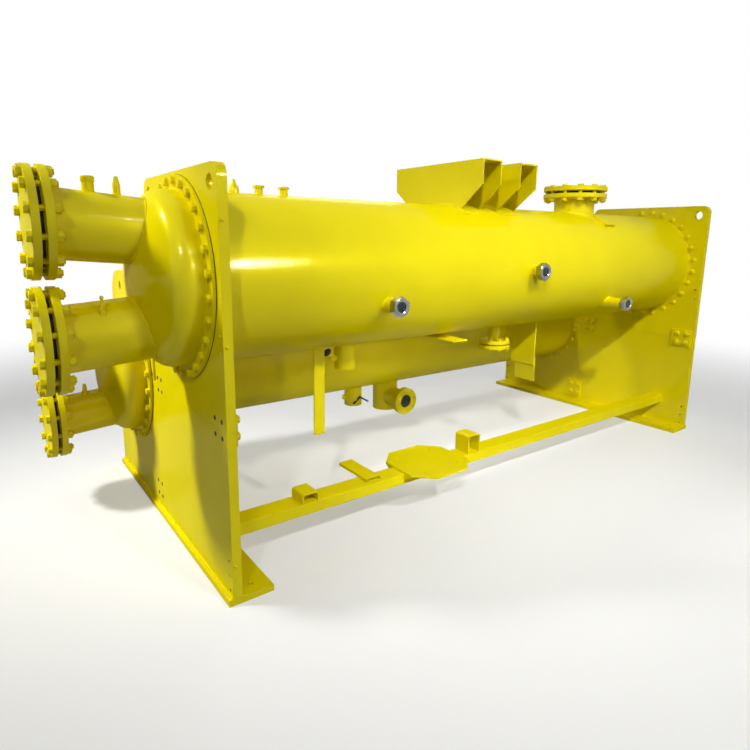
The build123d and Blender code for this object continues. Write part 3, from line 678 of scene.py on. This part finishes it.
def nozzle_welds():
    """Beads at the roots of the nozzles and behind their flanges."""
    beads = []
    for nozzle, axis, radius, margin in (
        ("front_upper_nozzle", front_axis, front_radius, front_flange_margin),
        ("front_lower_nozzle", front_axis, front_radius, front_flange_margin),
        ("rear_upper_nozzle", rear_axis, rear_radius, rear_flange_margin),
        ("rear_lower_nozzle", rear_axis, rear_radius, rear_flange_margin),
    ):
        root, collar = nozzle_root(nozzle, axis, radius, margin)
        beads.append(weld_bead(root, middle_bead))
        beads.append(weld_bead(collar, middle_bead))
    low, high = box_of("top_nozzle")
    x, y = (low[:2] + high[:2]) / 2
    pipe = (high[0] - low[0]) / 2 - front_flange_margin
    beads.append(weld_bead(upright_root(x, y, pipe, front_axis, front_radius, 1), heavy_bead))
    collar = np.stack([
        x + pipe * np.cos(turn_steps), y + pipe * np.sin(turn_steps),
        np.full_like(turn_steps, high[2] - raised_face - flange_thickness),
    ], axis=-1)
    beads.append(weld_bead(collar, heavy_bead))
    low, high = box_of("bottom_nozzle")
    x, y = (low[:2] + high[:2]) / 2
    pipe = (high[0] - low[0]) / 2 - small_flange_margin
    beads.append(weld_bead(upright_root(x, y, pipe, front_axis, front_radius, -1), middle_bead))
    lay_piece("nozzle_welds", joined(*beads), plate_paint)


def beam_welds():
    """Beads round the saddle pads and along the box beams' webs."""
    beads = []
    for node in ("left_box_beam", "right_box_beam"):
        low, high = box_of(node)
        left, right = low[0] - pad_overhang, high[0] + pad_overhang
        skin = front_radius + 0.002
        pad = np.concatenate([
            shell_arc(left, front_axis, skin, *pad_angles),
            shell_arc(right, front_axis, skin, *pad_angles[::-1]),
        ])
        beads.append(weld_bead(pad, middle_bead))
        for x in (low[0], high[0]):
            web = shell_arc(x, front_axis, front_radius + pad_thickness, *web_angles)
            beads.append(weld_bead(web, middle_bead, loop=False))
    lay_piece("beam_welds", joined(*beads), plate_paint)


def stub_root(x, z, pipe):
    """Line where a level stub towards the front meets the front shell."""
    level = z + pipe * np.sin(turn_steps)
    depth = front_axis[0] - np.sqrt(front_radius ** 2 - (level - front_axis[1]) ** 2)
    return np.stack([x + pipe * np.cos(turn_steps), depth, level], axis=-1)


# Places along x and heights of the sight glasses, and of the upright fittings along x, from the front corner
sight_places = ((0.996, 1.340), (2.193, 1.495), (3.224, 1.225))
coupling_xs = (0.298, 0.435, 0.580)
shell_coupling_radius = 0.021
shell_coupling_height = 0.032
drain_x, drain_radius = 0.975, 0.063
pot_x, pot_radius = 1.770, 0.075
sump_x, sump_radius = 2.120, 0.1095
branch_radius = 0.084
front_pipe_radius = 0.154
neck_coupling_x, neck_coupling_radius = -0.377, 0.0255
neck_plug_x, neck_plug_radius = -0.260, 0.017
neck_coupling_height = 0.060


def neck_middle(x):
    """Middle in y and z of the front upper nozzle's leaning pipe at a place along x."""
    low, high = box_of("front_upper_nozzle")
    y, z = (low[1:] + high[1:]) / 2
    back = low[0] + raised_face + flange_thickness
    return np.array([y, z - math.tan(neck_lean) * (corner[0] + x - back)])


def fitting_welds():
    """Beads at the roots of the sight glasses, couplings, drains and sump, and of the sump's branch."""
    beads = []
    for x, z in sight_places:
        beads.append(weld_bead(stub_root(corner[0] + x, z, sight_stub_radius), heavy_bead))
    y = front_axis[0]
    for x in coupling_xs:
        root = upright_root(corner[0] + x, y, shell_coupling_radius, front_axis, front_radius, 1)
        beads.append(weld_bead(root, fine_bead))
    root = upright_root(corner[0] + drain_x, y, drain_radius, front_axis, front_radius, -1)
    beads.append(weld_bead(root, middle_bead))
    for x, pipe in ((pot_x, pot_radius), (sump_x, sump_radius)):
        root = upright_root(corner[0] + x, rear_axis[0], pipe, rear_axis, rear_radius, -1)
        beads.append(weld_bead(root, middle_bead))
    for x, pipe in ((neck_coupling_x, neck_coupling_radius), (neck_plug_x, neck_plug_radius)):
        middle = neck_middle(x)
        slope = -math.tan(neck_lean)
        root = upright_root(corner[0] + x, middle[0], pipe, middle, front_pipe_radius, 1, slope)
        beads.append(weld_bead(root, fine_bead))
    along = branch_radius * np.cos(turn_steps)
    depth = rear_axis[0] - np.sqrt(sump_radius ** 2 - along ** 2)
    level = sump_face()[2] + branch_radius * np.sin(turn_steps)
    branch = np.stack([corner[0] + sump_x + along, depth, level], axis=-1)
    beads.append(weld_bead(branch, middle_bead))
    lay_piece("fitting_welds", joined(*beads), plate_paint)


def under_shell(x, y):
    """Points on the underside of the front shell at places along x and y."""
    x, y = np.broadcast_arrays(np.array(x, float), np.array(y, float))
    level = front_axis[1] - np.sqrt(front_radius ** 2 - (y - front_axis[0]) ** 2)
    return np.stack([x, y, level], axis=-1)


def bracket_welds():
    """Beads where the hanging strap and the hanger bracket meet the underside of the front shell."""
    beads = []
    strap_low, strap_high = box_of("hanging_strap")
    hanger_low = box_of("hanger_bracket")[0]
    for low, right, back in (
        (strap_low, strap_high[0], strap_high[1]),
        (hanger_low, hanger_low[0] + hanger_web, front_axis[0] + hanger_back),
    ):
        run = np.linspace(low[1], back, 40)
        outline = np.concatenate([under_shell(low[0], run), under_shell(right, run[::-1])])
        beads.append(weld_bead(outline, light_bead))
    lay_piece("bracket_welds", joined(*beads), plate_paint)


def frame_welds():
    """Beads along the feet and at the ends of the cross channel."""
    beads = []
    top = foot_high[2]
    for x in (sheet_low[0], sheet_high[0], far_low[0], far_high[0]):
        line = np.array([[x, foot_low[1] + bead_end_gap, top], [x, foot_high[1] - bead_end_gap, top]])
        beads.append(weld_bead(line, heavy_bead, loop=False))
    low, high = box_of("cross_channel")
    outline = np.array([[low[1], low[2]], [low[1], high[2]], [high[1], high[2]], [high[1], low[2]]])
    for x in (low[0], high[0]):
        end = np.concatenate([np.full((4, 1), x), outline], axis=1)
        beads.append(weld_bead(end, middle_bead, loop=False))
    lay_piece("frame_welds", joined(*beads), plate_paint)


# Sight glasses

sight_nut_flats = 0.100
sight_nut_height = 0.046
sight_bore = 0.0303
sight_lens_radius = 0.0284
lens_dome = 0.004


def sight_nut():
    """Hexagon nut on z = 0 with a round bore: rows from the side over the face into the bore and back."""
    angle, rim = hexagon(sight_nut_flats, 48)
    circle = chamfer_share * sight_nut_flats
    one = np.ones_like(rim)
    radius = np.stack([rim, rim, circle * one, 0.039 * one, 0.036 * one, sight_bore * one, sight_bore * one])
    drop = (rim - circle) * math.tan(math.pi / 6)
    front = sight_nut_height * one
    level = np.stack([0 * one, front - drop, front, front, front - 0.003, front - 0.005, 0 * one])
    points = np.stack([radius * np.cos(angle), radius * np.sin(angle), level], axis=-1)
    return points.reshape(-1, 3), [grid_faces(len(radius), len(angle), rows_join=True)]


def lens(radius, back, front):
    """Round glass with a gently domed front."""
    share = np.linspace(1, 0.02, 8)
    dome = front - lens_dome * share ** 2
    rows = [(radius, back)] + [(radius * s, d) for s, d in zip(share, dome)]
    return turned(rows, 40)


def sight_glasses():
    """Nuts, retaining rings and lenses of the three sight glasses and the sump's glass."""
    back = box_of("sight_glass_nuts")[1][1]
    backs = np.array([[corner[0] + x, back, z] for x, z in sight_places])
    front = (0, -1, 0)
    lay_piece("sight_nuts", bolt_rows(sight_nut(), backs, front), chrome, ["sight_glass_nuts"])
    band = turned([
        (0.0300, 0.020), (0.0300, 0.0380), (0.0296, 0.0392), (0.0290, 0.0392), (0.0286, 0.0380),
        (0.0286, 0.030),
    ], 40)
    lay_piece("sight_retaining_rings", bolt_rows(band, backs, front), chrome)
    # Lenses in the dark glass finish, whose colour paints the shade of the inside
    small = bolt_rows(lens(sight_lens_radius, 0.002, 0.0405), backs, front)
    large = bolt_rows(lens(sump_glass_radius, -0.020, -0.006), [sump_face()], front)
    lay_piece("sight_lenses", joined(small, large), glass, ["sight_glass_lenses"])


# Small valves and plugs

def ball(radius, centre):
    """Ball from rows of a half circle, closed by small flats at its poles."""
    tilt = np.linspace(-math.pi / 2 + 0.12, math.pi / 2 - 0.12, 13)
    return moved(turned(np.stack([radius * np.cos(tilt), radius * np.sin(tilt)], axis=-1)), np.eye(3), centre)


def pin(start, end, radius, tip_radius=None, sides=16):
    """Round pin between two places, tapered where a tip radius is given."""
    start, end = np.array(start, float), np.array(end, float)
    length = np.linalg.norm(end - start)
    tip = radius if tip_radius is None else tip_radius
    edge = min(0.0015, radius / 3)
    rows = [(radius - edge, 0), (radius, edge), (tip, length - edge), (tip - edge, length)]
    return moved(turned(rows, sides), facing(end - start), start)


# Places of the small valves, from the front corner
vent_place = (-0.378, 0.438, 1.361)
nozzle_plug_place = (-0.308, 1.593, 0.707)
drain_cock_place = (0.913, 0.543, 0.983)
pot_cock_place = (1.696, 1.619, 0.354)
pot_hub_place = (1.750, 1.546, 0.331)
lever_start = (1.717, 1.535, 0.304)
lever_elbow = (1.783, 1.535, 0.358)
lever_end = (1.865, 1.535, 0.308)
bleed_place = (2.700, 0.499, 1.066)
knob_direction = (-0.02805, 0.0, 0.0314)
upward = np.array([0.0, 0.0, 1.0])
leftward = np.array([-1.0, 0.0, 0.0])


def vent_valve():
    """Vent valve on the front lower nozzle: stub, hexagon, spindle and ball."""
    base = from_corner(*vent_place)
    return [
        pin(base - 0.040 * upward, base + 0.012 * upward, 0.017),
        moved(hexagon_block(0.030, 0.016), np.eye(3), base + 0.012 * upward),
        pin(base + 0.028 * upward, base + 0.050 * upward, 0.010, 0.008),
        pin(base + 0.050 * upward, base + 0.060 * upward, 0.006),
        ball(0.009, base + 0.066 * upward),
    ]


def nozzle_plug():
    """Tapered plug on the rear lower nozzle."""
    base = from_corner(*nozzle_plug_place)
    return [
        pin(base - 0.030 * upward, base + 0.014 * upward, 0.021, 0.020),
        pin(base + 0.012 * upward, base + 0.050 * upward, 0.015, 0.011),
        ball(0.010, base + 0.054 * upward),
    ]


def drain_cock():
    """Cock on the front drain's side, with a stem that slants up to its knob."""
    base = from_corner(*drain_cock_place)
    return [
        pin(base, base + 0.024 * leftward, 0.012),
        moved(hexagon_block(0.028, 0.010), facing(leftward), base + 0.004 * leftward),
        ball(0.020, base + 0.030 * leftward),
        pin(base + 0.030 * leftward, base + 0.058 * leftward + 0.033 * upward, 0.008),
    ]


def drain_knob():
    """Round knob on the drain cock's stem, tilted to face along it."""
    knob = turned([
        (0.010, -0.010), (0.022, -0.009), (0.027, -0.004), (0.028, 0.002), (0.025, 0.008), (0.012, 0.010),
    ])
    place = from_corner(*drain_cock_place) + 0.064 * leftward + 0.040 * upward
    return moved(knob, facing(knob_direction), place)


def pot_cock():
    """Cock of the rear drain pot: ball on its left side, hub in front, and the lever's end ball."""
    base = from_corner(*pot_cock_place)
    hub = from_corner(*pot_hub_place)
    return [
        pin(base, base + 0.012 * leftward, 0.013),
        ball(0.022, base + 0.016 * leftward),
        pin(hub + [0, 0.010, 0], hub + [0, -0.018, 0], 0.013),
        ball(0.011, from_corner(*lever_end)),
    ]


def pot_lever():
    """Bent lever of the pot's cock."""
    elbow = from_corner(*lever_elbow)
    return [
        pin(from_corner(*lever_start), elbow, 0.010),
        ball(0.010, elbow),
        pin(elbow, from_corner(*lever_end), 0.007),
    ]


def bleed_plug():
    """Small bleed plug under the front shell."""
    base = from_corner(*bleed_place)
    return [pin(base + 0.012 * upward, base - 0.016 * upward, 0.010), ball(0.011, base - 0.020 * upward)]


def small_valves():
    """The painted valves and plugs, and the black knob and lever."""
    painted = vent_valve() + nozzle_plug() + drain_cock() + pot_cock() + bleed_plug()
    lay_piece("small_valves", joined(*painted), plate_paint)
    lay_piece("drain_cock_knob", drain_knob(), rubber)
    lay_piece("pot_cock_lever", joined(*pot_lever()), rubber)


def coupling_plugs():
    """Plugs on the couplings: a pointed cap nearest the end plate and two hexagon plugs on the front shell,
    and a round cap on the front upper nozzle."""
    y = front_axis[0]
    crown = front_axis[1] + front_radius
    pointed = turned([
        (0.0280, -0.004), (0.0275, 0.008), (0.0235, 0.034), (0.0120, 0.046), (0.0080, 0.064), (0.0030, 0.068),
    ])
    plugs = [moved(pointed, np.eye(3), (corner[0] + coupling_xs[0], y, crown))]
    for x in coupling_xs[1:]:
        mouth = np.array([corner[0] + x, y, crown + shell_coupling_height])
        plugs.append(moved(hexagon_block(0.052, 0.013), np.eye(3), mouth))
    cap = turned([
        (0.0280, -0.018), (0.0285, -0.016), (0.0285, 0.002), (0.0250, 0.006), (0.0140, 0.0075),
        (0.0030, 0.008),
    ], 32)
    middle = neck_middle(neck_coupling_x)
    mouth = np.array([corner[0] + neck_coupling_x, *middle])
    mouth[2] += front_pipe_radius + neck_coupling_height
    plugs.append(moved(cap, np.eye(3), mouth))
    lay_piece("coupling_plugs", joined(*plugs), plate_paint)


def plate_edge_plugs():
    """Small round-headed plugs in the front edges of the front end plates."""
    plug = turned([(0.009, -0.001), (0.009, 0.002), (0.007, 0.005), (0.003, 0.0065)], 20)
    edges = (sheet_low[0] + edge_plug_inset, far_high[0] - edge_plug_inset)
    places = [[x, corner[1], z] for x in edges for z in edge_plug_heights]
    lay_piece("plate_edge_plugs", bolt_rows(plug, places, (0, -1, 0)), plate_paint)


def slot_strips():
    """Strips that close the slot between the front and rear tube sheets above the splice plates."""
    strips = []
    for end in ("left", "right"):
        front_low, front_high = box_of(end + "_front_tube_sheet")
        y_low, y_high = front_high[1], box_of(end + "_rear_tube_sheet")[0][1]
        x_low, x_high = front_low[0] + slot_strip_inset, front_high[0] - slot_strip_inset
        outline = np.array([(x_low, y_low), (x_high, y_low), (x_high, y_high), (x_low, y_high)])
        levels = np.repeat([[slot_strip_low], [slot_strip_high]], 4, axis=0)
        points = np.concatenate([np.tile(outline, (2, 1)), levels], axis=1)
        strips.append((points, [grid_faces(2, 4), end_faces(2, 4)]))
    lay_piece("slot_strips", joined(*strips), plate_paint)


def head_gap_shade_bands():
    """Painted shade of the gaps between the heads' rings and the end plates: closed black bands of flat
    section at the seams.
    """
    bands = []
    for node, face, outward in (
        ("front_water_box", sheet_low[0], -1), ("rear_water_box", sheet_low[0], -1),
        ("front_return_head", far_high[0], 1), ("rear_return_head", far_high[0], 1),
    ):
        low, high = box_of(node)
        rim = (high[2] - low[2]) / 2
        outer, inner = rim + gap_shade_band_over, rim - gap_shade_band_depth
        section = np.array([
            (outer, 0.0), (outer, gap_shade_band_thickness), (inner, gap_shade_band_thickness), (inner, 0.0),
        ])
        radius, level = section[:, :1], section[:, 1:]
        points = np.stack(np.broadcast_arrays(
            radius * np.cos(turn_steps), radius * np.sin(turn_steps), level,
        ), axis=-1).reshape(-1, 3)
        band = points, [grid_faces(4, len(turn_steps), rows_join=True)]
        centre = np.array([face, *(low + high)[1:] / 2])
        bands.append(moved(band, facing((outward, 0, 0)), centre))
    # Laid in black as painted shade of the seam gaps
    lay_piece("head_gap_shade_bands", joined(*bands), rubber)


# Stage

floor_reach = 60.0
fade_start = 3.2
fade_end = 8.0
fade_least = 0.35


def pale_floor():
    """Plain pale floor that fades into a white surround away from the object."""
    mesh = bpy.data.meshes.new("pale_floor")
    corners = [(x * floor_reach, y * floor_reach, 0) for x, y in ((-1, -1), (1, -1), (1, 1), (-1, 1))]
    mesh.from_pydata(corners, [], [(0, 1, 2, 3)])
    floor = bpy.data.objects.new("pale_floor", mesh)
    bpy.context.scene.collection.objects.link(floor)
    material, nodes, links, shader, place = new_material("pale_floor")
    seen = seen_ray(nodes, links)
    colour = blended(nodes, links, seen, (0.30, 0.30, 0.29), (0.90, 0.90, 0.89))
    links.new(colour, shader.inputs["Base Color"])
    shader.inputs["Roughness"].default_value = 0.75
    shader.inputs["Specular IOR Level"].default_value = 0.1
    away = nodes.new("ShaderNodeVectorMath")
    away.operation = "LENGTH"
    links.new(place, away.inputs[0])
    fade = nodes.new("ShaderNodeMapRange")
    fade.interpolation_type = "SMOOTHSTEP"
    fade.inputs["From Min"].default_value = fade_start
    fade.inputs["From Max"].default_value = fade_end
    fade.inputs["To Min"].default_value = fade_least
    links.new(away.outputs["Value"], fade.inputs["Value"])
    share = nodes.new("ShaderNodeMath")
    share.operation = "MULTIPLY"
    links.new(fade.outputs["Result"], share.inputs[0])
    links.new(seen, share.inputs[1])
    white = nodes.new("ShaderNodeEmission")
    white.inputs["Strength"].default_value = 1.0
    mix = nodes.new("ShaderNodeMixShader")
    links.new(share.outputs["Value"], mix.inputs["Fac"])
    links.new(shader.outputs["BSDF"], mix.inputs[1])
    links.new(white.outputs["Emission"], mix.inputs[2])
    links.new(mix.outputs["Shader"], nodes["Material Output"].inputs["Surface"])
    mesh.materials.append(material)


def seen_ray(nodes, links):
    """1 for camera, glossy and transmission rays, 0 for the rays that light the object."""
    ray = nodes.new("ShaderNodeLightPath")
    total = ray.outputs["Is Camera Ray"]
    for name in ("Is Glossy Ray", "Is Transmission Ray"):
        either = nodes.new("ShaderNodeMath")
        either.operation = "MAXIMUM"
        links.new(total, either.inputs[0])
        links.new(ray.outputs[name], either.inputs[1])
        total = either.outputs["Value"]
    return total


def white_surround():
    """World that lights softly and shows as white."""
    world = bpy.data.worlds.new("white_surround")
    bpy.context.scene.world = world
    world.use_nodes = True
    nodes = world.node_tree.nodes
    links = world.node_tree.links
    soft = nodes["Background"]
    soft.inputs["Color"].default_value = (1, 1, 1, 1)
    soft.inputs["Strength"].default_value = 0.09
    white = nodes.new("ShaderNodeBackground")
    white.inputs["Color"].default_value = (1, 1, 1, 1)
    white.inputs["Strength"].default_value = 1.0
    mix = nodes.new("ShaderNodeMixShader")
    links.new(seen_ray(nodes, links), mix.inputs["Fac"])
    links.new(soft.outputs["Background"], mix.inputs[1])
    links.new(white.outputs["Background"], mix.inputs[2])
    links.new(mix.outputs["Shader"], nodes["World Output"].inputs["Surface"])


def soft_lamp(name, place, target, size, power, spread=180):
    """Square area lamp that looks at a target, its light held within a spread in degrees."""
    lamp = bpy.data.lights.new(name, "AREA")
    lamp.shape = "SQUARE"
    lamp.size = size
    lamp.energy = power
    lamp.spread = math.radians(spread)
    holder = bpy.data.objects.new(name, lamp)
    bpy.context.scene.collection.objects.link(holder)
    look = Vector(target) - Vector(place)
    holder.matrix_world = Matrix.Translation(place) @ look.to_track_quat("-Z", "Y").to_matrix().to_4x4()
    return holder


def studio_light():
    """A far lamp in front on the left that spares the heads, one high in front, one in front on the right,
    one high on the left behind the heads, and a soft one behind. A sheen lamp in the right one's place shows
    in the highlights alone, and a low one lights what hangs under the front shell and shows in none."""
    soft_lamp("left_front_lamp", (-8.1, -8.9, 8.9), (1.6, -0.5, 0.5), 0.5, 34, 32)
    soft_lamp("high_front_lamp", (0.0, -7.0, 6.5), (0.1, -0.6, 0.2), 0.5, 20, 40)
    soft_lamp("right_front_lamp", (1.3, -7.6, 4.2), (-0.2, -0.6, 1.3), 0.5, 100)
    soft_lamp("high_left_lamp", (-5.9, 1.6, 5.4), (-2.0, 0.3, 0.6), 0.7, 46, 56)
    soft_lamp("rear_lamp", (3.5, 6.0, 5.0), (0.0, 0.3, 1.0), 3.0, 160)
    sheen = soft_lamp("sheen_lamp", (1.3, -7.6, 4.2), (-0.2, -0.6, 1.3), 0.5, 250)
    sheen.visible_diffuse = False
    low = soft_lamp("low_front_lamp", (-2.2, -8.0, 1.3), (-0.3, 0.6, 0.5), 0.5, 1.5, 16)
    low.visible_glossy = False


# Camera: eye measured from the front lower corner of the left end plates, and the lens of the photograph
sensor_width = 36
frame_pixels = 750
eye_offset = (-0.8722, -2.2632, 1.7037)
look_direction = (0.5835, 0.7886, -0.1942)
right_direction = (0.8052, -0.5929, 0.0120)
focal_pixels = 560.3
view_centre = (374.9, 348.0)


def place_camera():
    """Camera at the photograph's viewing angle, with the lens shift of its cropped frame."""
    camera = bpy.data.objects.new("photo_camera", bpy.data.cameras.new("photo_camera"))
    bpy.context.scene.collection.objects.link(camera)
    forward = Vector(look_direction).normalized()
    right = Vector(right_direction)
    right = (right - forward * right.dot(forward)).normalized()
    up = right.cross(forward)
    turn = Matrix((right, up, -forward)).transposed().to_4x4()
    camera.matrix_world = Matrix.Translation(Vector(corner) + Vector(eye_offset)) @ turn
    camera.data.sensor_width = sensor_width
    camera.data.lens = focal_pixels / frame_pixels * sensor_width
    camera.data.shift_x = (frame_pixels / 2 - view_centre[0]) / frame_pixels
    camera.data.shift_y = -(frame_pixels / 2 - view_centre[1]) / frame_pixels
    bpy.context.scene.camera = camera


finish_solids()
ring_bolts("front_water_box_bolts", front_axis, front_radius, -1, front_ring_bolt_count)
ring_bolts("rear_water_box_bolts", rear_axis, rear_radius, -1, rear_ring_bolt_count)
ring_bolts("front_return_head_bolts", front_axis, front_radius, 1, front_ring_bolt_count)
ring_bolts("rear_return_head_bolts", rear_axis, rear_radius, 1, rear_ring_bolt_count)
front_blind_outer = box_of("front_blind_flanges")[0][0]
rear_blind_outer = box_of("rear_blind_flanges")[0][0]
nozzle_bolts("front_upper_joint_bolts", "front_upper_nozzle", front_blind_outer)
nozzle_bolts("front_lower_joint_bolts", "front_lower_nozzle", front_blind_outer)
nozzle_bolts("rear_upper_joint_bolts", "rear_upper_nozzle", rear_blind_outer)
nozzle_bolts("rear_lower_joint_bolts", "rear_lower_nozzle", rear_blind_outer)
top_nozzle_bolts()
bottom_nozzle_bolts()
sump_screws()
splice_bolts()
plate_edge_plugs()
slot_strips()
head_gap_shade_bands()
coupling_plugs()
shell_welds()
nozzle_welds()
beam_welds()
fitting_welds()
bracket_welds()
frame_welds()
sight_glasses()
small_valves()
pale_floor()
white_surround()
studio_light()
place_camera()
bpy.context.scene.view_settings.view_transform = "Standard"
